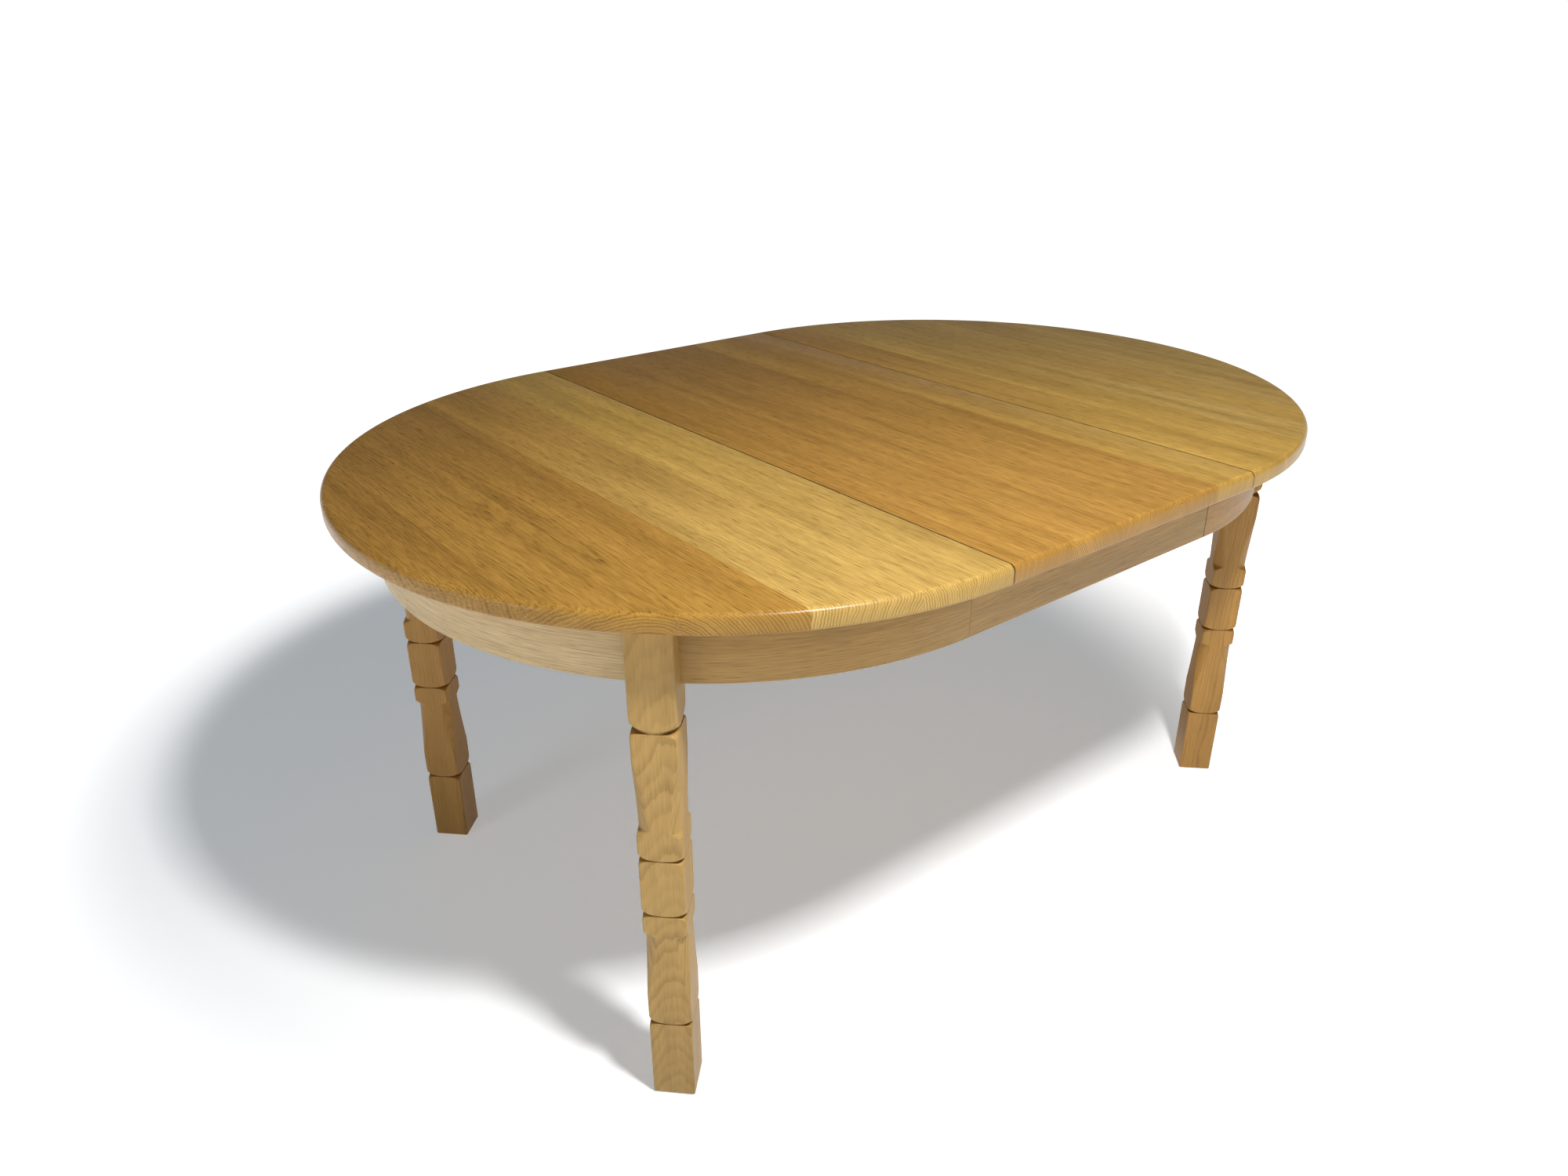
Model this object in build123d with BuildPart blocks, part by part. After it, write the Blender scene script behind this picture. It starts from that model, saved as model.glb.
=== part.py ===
from build123d import *
from math import acos, cos, degrees, radians, sin, sqrt, tan
import os

# Round pull-apart dining table in oak, with its loose leaf in place.
# Millimetres, +Z up, floor at Z = 0. X is the pull, Y runs along the boards.
# Left is -X, right is +X, front is -Y, back is +Y.

os.makedirs("parts", exist_ok=True)

# Top
table_height = 750
top_thickness = 26
end_radius = 575
leaf_length = 510
upper_edge_round = 9
lower_edge_round = 4
seam_gap = 0.3
seam_bevel = 1.0

# Widths of the edge-glued boards: shares of the end radius, counted away from each seam,
# and shares of the leaf's length. The last board takes what is left.
left_board_shares = [0.122, 0.11, 0.215, 0.209, 0.197]
right_board_shares = [0.165, 0.157, 0.169, 0.101, 0.209]
leaf_board_shares = [0.206, 0.206, 0.245, 0.167]

# Apron
apron_overhang = 62
apron_thickness = 22
apron_height = 94
skirt_gap = 0.5
tenon_thickness = 10
tenon_depth = 22
tenon_shoulder = 12
mortise_gap = 0.2

# Legs, with the heights of the four carved grooves
leg_width = 57
leg_proud = 1
leg_angle = 45
foot_top = 127
lower_top = 309
pillow_top = 395
upper_top = 578
groove_slit = 1.5
groove_depth = 1
corner_softness = 1
head_round = 20
block_round = 12
shoulder_round = 9
foot_bevel = 2

# Turned necks of a leg: each runs from full corners to its deepest place, then out to a collar.
neck_reach = 31
neck_curve = 0.4
neck_ledge = 10
lower_collar = 26
upper_collar = 34
neck_length = 97

# Corner blocks and leg bolts
block_depth = 40
block_half_angle = 8
block_height = 70
bolt_diameter = 8
bolt_grip = 34
bolt_head_diameter = 13
bolt_head_height = 5.5
bolt_gap = 0.2
bolt_spacing = 36

# Runners that carry the pull
runner_width = 35
runner_height = 45
runner_end_gap = 6
runner_mid_share = 0.387
slide_gap = 0.5
tongue_height = 14
tongue_depth = 12
pull_range = 60
stop_diameter = 8
stop_inset = 12
stop_gap = 0.3
glue_gap = 0.1

# Cross rails
cross_rail_thickness = 22
cross_rail_height = 84
cross_rail_setback = 30
notch_gap = 1

# Screws, dowels and glue blocks
screw_diameter = 5
screw_head_diameter = 9.5
screw_bite = 14
screw_head_angle = 90
screw_shares = [0.21, 0.51, 0.81]
screw_line = 10
dowel_diameter = 10
dowel_seat = 25
dowel_reach = 14
dowel_gap = 0.5
dowel_spacing_share = 0.66
glue_block_size = 20
glue_block_half_angle = 4
end_glue_angles = [-14, 0, 14]
side_glue_angle = 72
leaf_glue_length_share = 0.14
leaf_glue_spacing_share = 0.29

# Derived places
half_leaf = leaf_length / 2
underside = table_height - top_thickness
apron_bottom = underside - apron_height
apron_radius = end_radius - apron_overhang
apron_inner = apron_radius - apron_thickness
apron_middle = apron_radius - apron_thickness / 2
half_leg = leg_width / 2
leg_circle = apron_radius + leg_proud
leg_inner = leg_circle - half_leg
corner_reach = half_leg * sqrt(2) - corner_softness
runner_bottom = underside - runner_height
runner_mid = apron_inner * runner_mid_share
runner_reach = sqrt(apron_inner ** 2 - (runner_mid + runner_width) ** 2) - runner_end_gap
dowel_spacing = end_radius * dowel_spacing_share
leaf_glue_length = leaf_length * leaf_glue_length_share
leaf_glue_spacing = leaf_length * leaf_glue_spacing_share
dowel_height = underside + top_thickness / 2
screw_head_height = (screw_head_diameter - screw_diameter) / 2 / tan(radians(screw_head_angle / 2))

# Beyond every solid, for cutting shapes
reach = half_leaf + 2 * end_radius

side_signs = {"left": -1, "right": 1}
depth_signs = {"front": -1, "back": 1}


def save(piece, label):
    piece.part.label = label
    export_step(piece.part, f"parts/{label}.step")
    print(label, len(piece.part.solids()), round(piece.part.volume / 1000), "cm3")


def leg_direction(side, depth):
    """Angle of a leg about the centre of its half."""
    if side > 0:
        return depth * leg_angle
    return 180 - depth * leg_angle


def leg_plane(side, depth, height):
    """Level plane on a leg's axis, with its x pointing out from the half's centre."""
    angle = radians(leg_direction(side, depth))
    outward = (cos(angle), sin(angle), 0)
    centre = (side * half_leaf + leg_circle * outward[0], leg_circle * outward[1], height)
    return Plane(origin=centre, x_dir=outward, z_dir=(0, 0, 1))


def half_plane(side, height):
    """Level plane on the centre of one half."""
    return Plane(origin=(side * half_leaf, 0, height), x_dir=(1, 0, 0), z_dir=(0, 0, 1))


def tenon_centre():
    """How far the apron's middle line lies inside the leg's axis, at the leg's side face."""
    return sqrt(apron_middle ** 2 - half_leg ** 2) - leg_circle


def sector(plane, inner, outer, start, size):
    """A ring sector on a level plane, from one angle through another."""
    with BuildSketch(plane) as ring:
        with BuildLine():
            outer_arc = CenterArc((0, 0), outer, start, size)
            inner_arc = CenterArc((0, 0), inner, start, size)
            Line(outer_arc @ 0, inner_arc @ 0)
            Line(outer_arc @ 1, inner_arc @ 1)
        make_face()
    return ring.sketch


def runner_screw_points(side):
    """Places of one half's runner screws, seen from above."""
    offset = screw_line + runner_width / 2
    across = runner_mid + offset if side < 0 else runner_mid - offset
    return [
        (side * (half_leaf + share * runner_reach), sign * across)
        for share in screw_shares
        for sign in (-1, 1)
    ]


def dowel_points():
    """Places of the seam dowels along the boards."""
    return [-dowel_spacing, 0, dowel_spacing]


# Top boards

def cut_dowel_seats(side):
    """Blind holes in the seam edge of a half."""
    seam = Plane(origin=(side * half_leaf, 0, dowel_height), x_dir=(0, 1, 0), z_dir=(side, 0, 0))
    with BuildSketch(seam) as seats:
        with Locations(*[(place, 0) for place in dowel_points()]):
            Circle(dowel_diameter / 2 + glue_gap)
    extrude(seats.sketch, amount=dowel_seat + 1, mode=Mode.SUBTRACT)


def cut_dowel_slots(side):
    """Slots in the leaf's edge, open below, so that the leaf drops over the dowels."""
    slot_height = top_thickness / 2 + dowel_diameter / 2 + dowel_gap
    slot_length = dowel_reach + 1
    with BuildSketch(Plane.XY.offset(underside)) as slots:
        with Locations(*[(side * (half_leaf - slot_length / 2), place) for place in dowel_points()]):
            Rectangle(slot_length, dowel_diameter + 2 * dowel_gap)
    extrude(slots.sketch, amount=slot_height, mode=Mode.SUBTRACT)


def cut_screw_pilots(side):
    """Blind holes for the runner screws in the underside of a half."""
    with BuildSketch(Plane.XY.offset(underside)) as pilots:
        with Locations(*runner_screw_points(side)):
            Circle(screw_diameter / 2 + glue_gap)
    extrude(pilots.sketch, amount=screw_bite + 1, mode=Mode.SUBTRACT)


def rim(edges):
    """The edges on the table's outline, without those along a board joint."""
    return edges.filter_by(Axis.Y, reverse=True)


def make_board(label, low, high, side, seams):
    """One board of the top, from x = low to x = high, with a bevel at each seam it meets."""
    with BuildPart() as board:
        with BuildSketch(Plane.XY.offset(underside)):
            SlotCenterToCenter(leaf_length, 2 * end_radius)
            with Locations(((low + high) / 2, 0)):
                Rectangle(high - low, 2 * reach, mode=Mode.INTERSECT)
        extrude(amount=top_thickness)
        fillet(rim(board.edges().group_by(Axis.Z)[-1]), upper_edge_round)
        fillet(rim(board.edges().group_by(Axis.Z)[0]), lower_edge_round)
        for seam in seams:
            edge_plane = Plane(origin=(seam, 0, table_height), x_dir=(1, 0, 0), z_dir=(0, -1, 0))
            with BuildSketch(edge_plane):
                Polygon((-seam_bevel, 0), (0, -seam_bevel), (seam_bevel, 0), (0, seam_bevel), align=None)
            extrude(amount=reach, both=True, mode=Mode.SUBTRACT)
        if side:
            cut_screw_pilots(side)
            if seams:
                cut_dowel_seats(side)
        else:
            for seam in seams:
                cut_dowel_slots(1 if seam > 0 else -1)
    save(board, label)


def make_half_top(name, side, shares):
    """All boards of one half, from the seam outwards."""
    near = half_leaf
    far_end = half_leaf + end_radius
    edges = [near]
    for share in shares:
        edges.append(edges[-1] + share * end_radius)
    edges.append(far_end + 1)
    for index in range(len(edges) - 1):
        low, high = sorted((side * edges[index], side * edges[index + 1]))
        seams = [side * near] if index == 0 else []
        make_board(f"{name}_board_{index + 1}", low, high, side, seams)


def make_leaf_top():
    """All boards of the leaf, from left to right."""
    left_edge = -half_leaf + seam_gap
    right_edge = half_leaf - seam_gap
    edges = [left_edge]
    for share in leaf_board_shares:
        edges.append(edges[-1] + share * leaf_length)
    edges.append(right_edge)
    for index in range(len(edges) - 1):
        seams = [place for place in (left_edge, right_edge) if place in edges[index:index + 2]]
        make_board(f"leaf_board_{index + 1}", edges[index], edges[index + 1], 0, seams)


make_half_top("left", -1, left_board_shares)
make_half_top("right", 1, right_board_shares)
make_leaf_top()


# Legs

def groove_section(plane, height, round_above):
    """Half section of the ring cut at one groove: it bites deep only at the corners."""
    root = half_leg - groove_depth
    outside = corner_reach + leg_width
    above = height + groove_slit / 2
    below = height - groove_slit / 2
    middle_above = corner_reach - round_above
    middle_below = corner_reach - shoulder_round
    overhang = max(0, root - middle_above)
    start_above = -degrees(acos(overhang / round_above))
    with BuildSketch(plane) as section:
        with BuildLine():
            upper = CenterArc((middle_above, above + round_above), round_above, start_above, -start_above)
            lower = CenterArc((middle_below, below - shoulder_round), shoulder_round, 0, 90)
            Polyline(
                upper @ 1,
                (outside, above + round_above),
                (outside, below - shoulder_round),
                lower @ 0,
            )
            Polyline(lower @ 1, (root, below), (root, height), upper @ 0)
        make_face()
    return section.sketch


def neck_section(plane, collar_end, direction):
    """Half section of the ring cut at one neck, which runs up or down from the end of a collar."""
    outside = corner_reach + leg_width
    deepest = collar_end + direction * neck_ledge
    far_end = collar_end + direction * (neck_ledge + neck_length)
    middle = neck_reach + neck_curve * (corner_reach - neck_reach)
    with BuildSketch(plane) as section:
        with BuildLine():
            ThreePointArc((neck_reach, deepest), (middle, (deepest + far_end) / 2), (corner_reach, far_end))
            Polyline(
                (corner_reach, far_end),
                (outside, far_end),
                (outside, collar_end),
                (corner_reach, collar_end),
                (neck_reach, deepest),
            )
        make_face()
    return section.sketch


def make_leg(label, side, depth):
    level = leg_plane(side, depth, 0)
    side_face = Plane(origin=level.origin, x_dir=level.x_dir, z_dir=-level.y_dir)
    axis = Axis(level.origin, (0, 0, 1))
    mortise_width = tenon_thickness + 2 * mortise_gap
    mortise_depth = tenon_depth + 1
    bolt_middle = underside - apron_height / 2
    with BuildPart() as leg:
        with BuildSketch(level):
            Rectangle(leg_width, leg_width)
        extrude(amount=underside)
        chamfer(leg.edges().group_by(Axis.Z)[0], foot_bevel)
        with BuildSketch(level):
            Circle(corner_reach)
        extrude(amount=underside, mode=Mode.INTERSECT)
        for height in (foot_top, lower_top, pillow_top, upper_top):
            round_above = head_round if height == upper_top else block_round
            revolve(groove_section(side_face, height, round_above), axis=axis, mode=Mode.SUBTRACT)
        revolve(neck_section(side_face, lower_top - lower_collar, -1), axis=axis, mode=Mode.SUBTRACT)
        revolve(neck_section(side_face, pillow_top + upper_collar, 1), axis=axis, mode=Mode.SUBTRACT)
        with BuildSketch(leg_plane(side, depth, apron_bottom + tenon_shoulder - mortise_gap)):
            with Locations(*[(tenon_centre(), sign * (half_leg - mortise_depth / 2)) for sign in (-1, 1)]):
                Rectangle(mortise_width, mortise_depth)
        extrude(amount=apron_height - 2 * tenon_shoulder + 2 * mortise_gap, mode=Mode.SUBTRACT)
        inner_face = Plane(
            origin=level.origin - level.x_dir * half_leg + Vector(0, 0, bolt_middle),
            x_dir=level.y_dir,
            z_dir=level.x_dir,
        )
        with BuildSketch(inner_face):
            with Locations((0, -bolt_spacing / 2), (0, bolt_spacing / 2)):
                Circle(bolt_diameter / 2 + bolt_gap)
        extrude(amount=bolt_grip + 1, mode=Mode.SUBTRACT)
    save(leg, label)


for side_name, side in side_signs.items():
    for depth_name, depth in depth_signs.items():
        make_leg(f"leg_{side_name}_{depth_name}", side, depth)


# Apron

def make_apron(label, side, start, end, leg_depths):
    """A bent apron piece between two angles, with a tenon at each leg it meets."""
    embed = tenon_thickness / 2
    tenon_length = tenon_depth + embed
    with BuildPart() as apron:
        ring = sector(half_plane(side, apron_bottom), apron_inner, apron_radius, start, end - start)
        extrude(ring, amount=apron_height)
        for depth, hand in leg_depths:
            with BuildSketch(leg_plane(side, depth, apron_bottom)):
                Rectangle(2 * leg_width, leg_width)
            extrude(amount=apron_height, mode=Mode.SUBTRACT)
            with BuildSketch(leg_plane(side, depth, apron_bottom + tenon_shoulder)):
                with Locations((tenon_centre(), hand * (half_leg - tenon_depth + tenon_length / 2))):
                    Rectangle(tenon_thickness, tenon_length)
            extrude(amount=apron_height - 2 * tenon_shoulder)
    save(apron, label)


for side_name, side in side_signs.items():
    front_leg = leg_direction(side, -1)
    back_leg = leg_direction(side, 1)
    if side > 0:
        make_apron(f"apron_{side_name}_end", side, front_leg, back_leg, [(-1, 1), (1, -1)])
        make_apron(f"apron_{side_name}_front", side, -90, front_leg, [(-1, -1)])
        make_apron(f"apron_{side_name}_back", side, back_leg, 90, [(1, 1)])
    else:
        make_apron(f"apron_{side_name}_end", side, back_leg, front_leg, [(-1, -1), (1, 1)])
        make_apron(f"apron_{side_name}_front", side, front_leg, 270, [(-1, 1)])
        make_apron(f"apron_{side_name}_back", side, 90, back_leg, [(1, -1)])


# Leaf skirts, which carry the line of the apron across the leaf

for depth_name, depth in depth_signs.items():
    with BuildPart() as skirt:
        with BuildSketch(Plane.XY.offset(apron_bottom)):
            with Locations((0, depth * apron_middle)):
                Rectangle(leaf_length - 2 * skirt_gap, apron_thickness)
        extrude(amount=apron_height)
    save(skirt, f"leaf_skirt_{depth_name}")


# Corner blocks behind the legs, and the bolts that pull the legs in

def make_corner_block(label, side, depth):
    direction = leg_direction(side, depth)
    level = leg_plane(side, depth, 0)
    block_bottom = underside - (apron_height + block_height) / 2
    block_inner = leg_inner - block_depth
    bolt_face = Plane(
        origin=level.origin - level.x_dir * (half_leg + block_depth) + Vector(0, 0, underside - apron_height / 2),
        x_dir=level.y_dir,
        z_dir=level.x_dir,
    )
    with BuildPart() as block:
        level_plane = half_plane(side, block_bottom)
        ring = sector(level_plane, block_inner, apron_inner, direction - block_half_angle, 2 * block_half_angle)
        extrude(ring, amount=block_height)
        with BuildSketch(leg_plane(side, depth, block_bottom)):
            Rectangle(leg_width, leg_width)
            with Locations((-half_leg - 2 * block_depth, 0)):
                Rectangle(2 * block_depth, 2 * leg_circle)
        extrude(amount=block_height, mode=Mode.SUBTRACT)
        with BuildSketch(bolt_face):
            with Locations((0, -bolt_spacing / 2), (0, bolt_spacing / 2)):
                Circle(bolt_diameter / 2 + bolt_gap)
        extrude(amount=2 * block_depth, both=True, mode=Mode.SUBTRACT)
    save(block, label)


for side_name, side in side_signs.items():
    for depth_name, depth in depth_signs.items():
        make_corner_block(f"corner_block_{side_name}_{depth_name}", side, depth)


for side_name, side in side_signs.items():
    with BuildPart() as bolts:
        for depth in depth_signs.values():
            level = leg_plane(side, depth, 0)
            seat = Plane(
                origin=level.origin - level.x_dir * (half_leg + block_depth) + Vector(0, 0, underside - apron_height / 2),
                x_dir=level.y_dir,
                z_dir=level.x_dir,
            )
            with BuildSketch(seat):
                with Locations((0, -bolt_spacing / 2), (0, bolt_spacing / 2)):
                    Circle(bolt_diameter / 2)
            extrude(amount=block_depth + bolt_grip)
            with BuildSketch(seat):
                with Locations((0, -bolt_spacing / 2), (0, bolt_spacing / 2)):
                    RegularPolygon(bolt_head_diameter / 2, 6)
            extrude(amount=-bolt_head_height)
    save(bolts, f"leg_bolts_{side_name}")


# Runners: the left pair lies outside and is grooved, the right pair lies inside and is tongued

left_runner_start = -half_leaf - runner_reach
left_runner_end = -half_leaf + runner_reach
right_runner_start = half_leaf - runner_reach
right_runner_end = half_leaf + runner_reach
stop_place = left_runner_end - stop_inset
tongue_end = stop_place - stop_diameter / 2 - pull_range - stop_gap
groove_height = tongue_height + 2 * slide_gap
groove_depth_across = tongue_depth + slide_gap
tongue_bottom = runner_bottom + (runner_height - tongue_height) / 2
stop_line = runner_mid + groove_depth_across / 2


def cut_runner_screws(side):
    """Countersunk holes from below, on one half's runners."""
    with Locations(*[
        Location((x, y, runner_bottom), (180, 0, 0)) for x, y in runner_screw_points(side)
    ]):
        CounterSinkHole(
            screw_diameter / 2 + glue_gap,
            screw_head_diameter / 2 + glue_gap,
            runner_height,
            counter_sink_angle=screw_head_angle,
        )


def make_left_runner(label, depth):
    with BuildPart() as runner:
        with BuildSketch(Plane.XY.offset(runner_bottom)):
            with Locations(((left_runner_start + left_runner_end) / 2, depth * (runner_mid + runner_width / 2))):
                Rectangle(left_runner_end - left_runner_start, runner_width)
        extrude(amount=runner_height)
        with BuildSketch(Plane.XY.offset(tongue_bottom - slide_gap)):
            with Locations(((left_runner_start + left_runner_end) / 2, depth * stop_line)):
                Rectangle(left_runner_end - left_runner_start, groove_depth_across)
        extrude(amount=groove_height, mode=Mode.SUBTRACT)
        with BuildSketch(Plane.XY.offset(runner_bottom)):
            with Locations((stop_place, depth * stop_line)):
                Circle(stop_diameter / 2 + glue_gap)
        extrude(amount=(runner_height + groove_height) / 2 + stop_diameter, mode=Mode.SUBTRACT)
        cut_runner_screws(-1)
    save(runner, label)


def make_right_runner(label, depth):
    inner_face = runner_mid - slide_gap
    with BuildPart() as runner:
        with BuildSketch(Plane.XY.offset(runner_bottom)):
            with Locations(((right_runner_start + right_runner_end) / 2, depth * (inner_face - runner_width / 2))):
                Rectangle(right_runner_end - right_runner_start, runner_width)
        extrude(amount=runner_height)
        with BuildSketch(Plane.XY.offset(tongue_bottom)):
            with Locations(((right_runner_start + tongue_end) / 2, depth * inner_face)):
                Rectangle(tongue_end - right_runner_start, 2 * tongue_depth)
        extrude(amount=tongue_height)
        cut_runner_screws(1)
    save(runner, label)


for depth_name, depth in depth_signs.items():
    make_left_runner(f"runner_left_{depth_name}", depth)
    make_right_runner(f"runner_right_{depth_name}", depth)


with BuildPart() as stop_pins:
    with BuildSketch(Plane.XY.offset(runner_bottom)):
        with Locations(*[(stop_place, depth * stop_line) for depth in depth_signs.values()]):
            Circle(stop_diameter / 2)
    extrude(amount=(runner_height + groove_height) / 2 + stop_diameter - glue_gap)
save(stop_pins, "runner_stop_pins")


# Runner screws

for side_name, side in side_signs.items():
    with BuildPart() as screws:
        with BuildSketch(Plane.XY.offset(runner_bottom)):
            with Locations(*runner_screw_points(side)):
                Circle(screw_diameter / 2)
        extrude(amount=runner_height + screw_bite)
        with Locations(*[(x, y, runner_bottom) for x, y in runner_screw_points(side)]):
            Cone(
                screw_head_diameter / 2,
                screw_diameter / 2,
                screw_head_height,
                align=(Align.CENTER, Align.CENTER, Align.MIN),
            )
    save(screws, f"runner_screws_{side_name}")


# Cross rails just inside each seam, notched over the runners

for side_name, side in side_signs.items():
    rail_middle = side * (half_leaf + cross_rail_setback + cross_rail_thickness / 2)
    notch_inner = runner_mid - slide_gap - runner_width - notch_gap
    notch_outer = runner_mid + runner_width + notch_gap
    with BuildPart() as cross_rail:
        with BuildSketch(Plane.XY.offset(underside - cross_rail_height)):
            with Locations((rail_middle, 0)):
                Rectangle(cross_rail_thickness, 2 * apron_radius)
        extrude(amount=cross_rail_height)
        with BuildSketch(half_plane(side, underside - cross_rail_height)):
            Circle(apron_inner)
        extrude(amount=cross_rail_height, mode=Mode.INTERSECT)
        with BuildSketch(Plane.XY.offset(runner_bottom - notch_gap)):
            with Locations(*[(rail_middle, sign * (notch_inner + notch_outer) / 2) for sign in (-1, 1)]):
                Rectangle(2 * cross_rail_thickness, notch_outer - notch_inner)
        extrude(amount=runner_height + 2 * notch_gap, mode=Mode.SUBTRACT)
    save(cross_rail, f"cross_rail_{side_name}")


# Seam dowels

for side_name, side in side_signs.items():
    with BuildPart() as dowels:
        seam = Plane(
            origin=(side * (half_leaf - dowel_reach), 0, dowel_height), x_dir=(0, 1, 0), z_dir=(side, 0, 0)
        )
        with BuildSketch(seam):
            with Locations(*[(place, 0) for place in dowel_points()]):
                Circle(dowel_diameter / 2)
        extrude(amount=dowel_reach + dowel_seat)
    save(dowels, f"seam_dowels_{side_name}")


# Glue blocks in the corner between the apron and the top

for side_name, side in side_signs.items():
    facing = 0 if side > 0 else 180
    angles = [facing + angle for angle in end_glue_angles + [-side_glue_angle, side_glue_angle]]
    with BuildPart() as glue_blocks:
        for angle in angles:
            ring = sector(
                half_plane(side, underside - glue_block_size),
                apron_inner - glue_block_size,
                apron_inner,
                angle - glue_block_half_angle,
                2 * glue_block_half_angle,
            )
            extrude(ring, amount=glue_block_size)
    save(glue_blocks, f"glue_blocks_{side_name}")


with BuildPart() as leaf_glue_blocks:
    with BuildSketch(Plane.XY.offset(underside - glue_block_size)):
        with Locations(*[
            (along, sign * (apron_inner - glue_block_size / 2))
            for along in (-leaf_glue_spacing, 0, leaf_glue_spacing)
            for sign in (-1, 1)
        ]):
            Rectangle(leaf_glue_length, glue_block_size)
    extrude(amount=glue_block_size)
save(leaf_glue_blocks, "glue_blocks_leaf")
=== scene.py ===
# %% [markdown]
# # A round oak table that pulls apart
# This dining table has two shapes: it is round when it is closed, and oval when a loose leaf lies
# between its halves. Its sizes, joints and hidden runners are already measured in a frame. This
# lesson gives it the oak, the turned legs and the light that you would see in a showroom.

from math import atan2, copysign, cos, pi, radians, sin, sqrt

import bmesh
import bpy
from mathutils import Euler, Matrix, Vector


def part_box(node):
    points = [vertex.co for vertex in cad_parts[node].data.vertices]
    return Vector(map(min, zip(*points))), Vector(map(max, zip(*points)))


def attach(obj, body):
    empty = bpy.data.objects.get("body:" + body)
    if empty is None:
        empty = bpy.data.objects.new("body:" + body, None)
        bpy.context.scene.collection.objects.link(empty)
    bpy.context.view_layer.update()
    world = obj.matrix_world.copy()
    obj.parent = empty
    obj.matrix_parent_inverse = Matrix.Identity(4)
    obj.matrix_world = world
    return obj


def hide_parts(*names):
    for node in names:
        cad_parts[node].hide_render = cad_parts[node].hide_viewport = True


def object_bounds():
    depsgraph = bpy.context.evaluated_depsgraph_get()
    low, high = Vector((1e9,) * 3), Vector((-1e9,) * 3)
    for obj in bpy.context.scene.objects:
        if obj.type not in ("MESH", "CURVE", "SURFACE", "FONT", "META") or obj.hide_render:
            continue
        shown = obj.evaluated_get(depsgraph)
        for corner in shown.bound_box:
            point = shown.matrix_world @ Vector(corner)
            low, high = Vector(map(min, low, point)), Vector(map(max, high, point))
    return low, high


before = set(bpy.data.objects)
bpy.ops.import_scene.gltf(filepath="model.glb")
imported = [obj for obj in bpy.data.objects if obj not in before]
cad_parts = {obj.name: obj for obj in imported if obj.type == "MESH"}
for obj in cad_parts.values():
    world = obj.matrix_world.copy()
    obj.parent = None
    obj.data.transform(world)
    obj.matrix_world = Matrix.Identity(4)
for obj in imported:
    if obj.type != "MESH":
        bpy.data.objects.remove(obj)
measured_low, measured_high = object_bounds()
measured_size = measured_high - measured_low
print("measured pieces:", len(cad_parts), "size:", [round(length, 3) for length in measured_size])

# %% [markdown]
# ## Read the sizes off the table
# A joiner measures the carcase before making anything that has to fit it. Each value below comes
# from a measured piece, so what we make lands where the frame expects it.

# %% Read the main sizes
seam_board_low, seam_board_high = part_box("left_board_1")
leaf_middle_low, leaf_middle_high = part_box("leaf_board_3")
skirt_low, skirt_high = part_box("leaf_skirt_front")
leg_low, leg_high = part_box("leg_right_back")
table_height = seam_board_high.z
underside = seam_board_low.z
half_leaf = -seam_board_high.x
end_radius = (leaf_middle_high.y - leaf_middle_low.y) / 2
apron_radius = -skirt_low.y
apron_thickness = skirt_high.y - skirt_low.y
apron_bottom = skirt_low.z
skirt_height = underside - apron_bottom
print("height", round(table_height, 3), "end radius", round(end_radius, 3))
print("half the leaf", round(half_leaf, 3), "height of the skirt", round(skirt_height, 3))

# %% [markdown]
# ## Write shader maths as sums
# A wood finish is a recipe: distance from the heart of the tree, rings, pores, colour. Each step is
# one small node. This class wraps a node's output, so that a recipe reads like the sum it is.


# %% A small class for shader maths
class Signal:
    """One output inside a finish. Sums on it add the nodes that work them out."""

    def __init__(self, tree, socket):
        self.tree = tree
        self.socket = socket

    def node(self, kind, settings=None, inputs=None, output=0):
        """Add any node: first its settings, then the values or links of its sockets."""
        made = self.tree.nodes.new(kind)
        for name, value in (settings or {}).items():
            setattr(made, name, value)
        for name, value in (inputs or {}).items():
            if isinstance(value, Signal):
                self.tree.links.new(value.socket, made.inputs[name])
            else:
                made.inputs[name].default_value = value
        return Signal(self.tree, made.outputs[output])

    def math(self, operation, other=0.0):
        """This value and another, put together by a Math node."""
        return self.node("ShaderNodeMath", {"operation": operation}, {0: self, 1: other})

    def __add__(self, other):
        return self.math("ADD", other)

    def __radd__(self, other):
        return self.math("ADD", other)

    def __sub__(self, other):
        return self.math("SUBTRACT", other)

    def __rsub__(self, other):
        return self.node("ShaderNodeMath", {"operation": "SUBTRACT"}, {0: other, 1: self})

    def __mul__(self, other):
        return self.math("MULTIPLY", other)

    def __rmul__(self, other):
        return self.math("MULTIPLY", other)

    def __truediv__(self, other):
        return self.math("DIVIDE", other)

    def __pow__(self, other):
        return self.math("POWER", other)

    def __abs__(self):
        return self.math("ABSOLUTE")

    def split(self):
        """The X, Y and Z of a vector."""
        parts = self.node("ShaderNodeSeparateXYZ", None, {0: self})
        return [Signal(self.tree, socket) for socket in parts.socket.node.outputs]

    def rise(self, low, high):
        """0 below low, 1 above high, and a soft step between."""
        settings = {"interpolation_type": "SMOOTHSTEP"}
        return self.node("ShaderNodeMapRange", settings, {0: self, 1: low, 2: high})

    def mix(self, first, second):
        """The first colour where this is 0, the second where it is 1."""
        return self.node("ShaderNodeMix", {"data_type": "RGBA"}, {0: self, 6: first, 7: second}, 2)

    def tint(self, colour):
        """This colour times another."""
        settings = {"data_type": "RGBA", "blend_type": "MULTIPLY"}
        return self.node("ShaderNodeMix", settings, {0: 1.0, 6: self, 7: colour}, 2)

    def feed(self, shader, name):
        """Link this to one input of a shader."""
        self.tree.links.new(self.socket, shader.inputs[name])


print("shader sums are ready")

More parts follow.
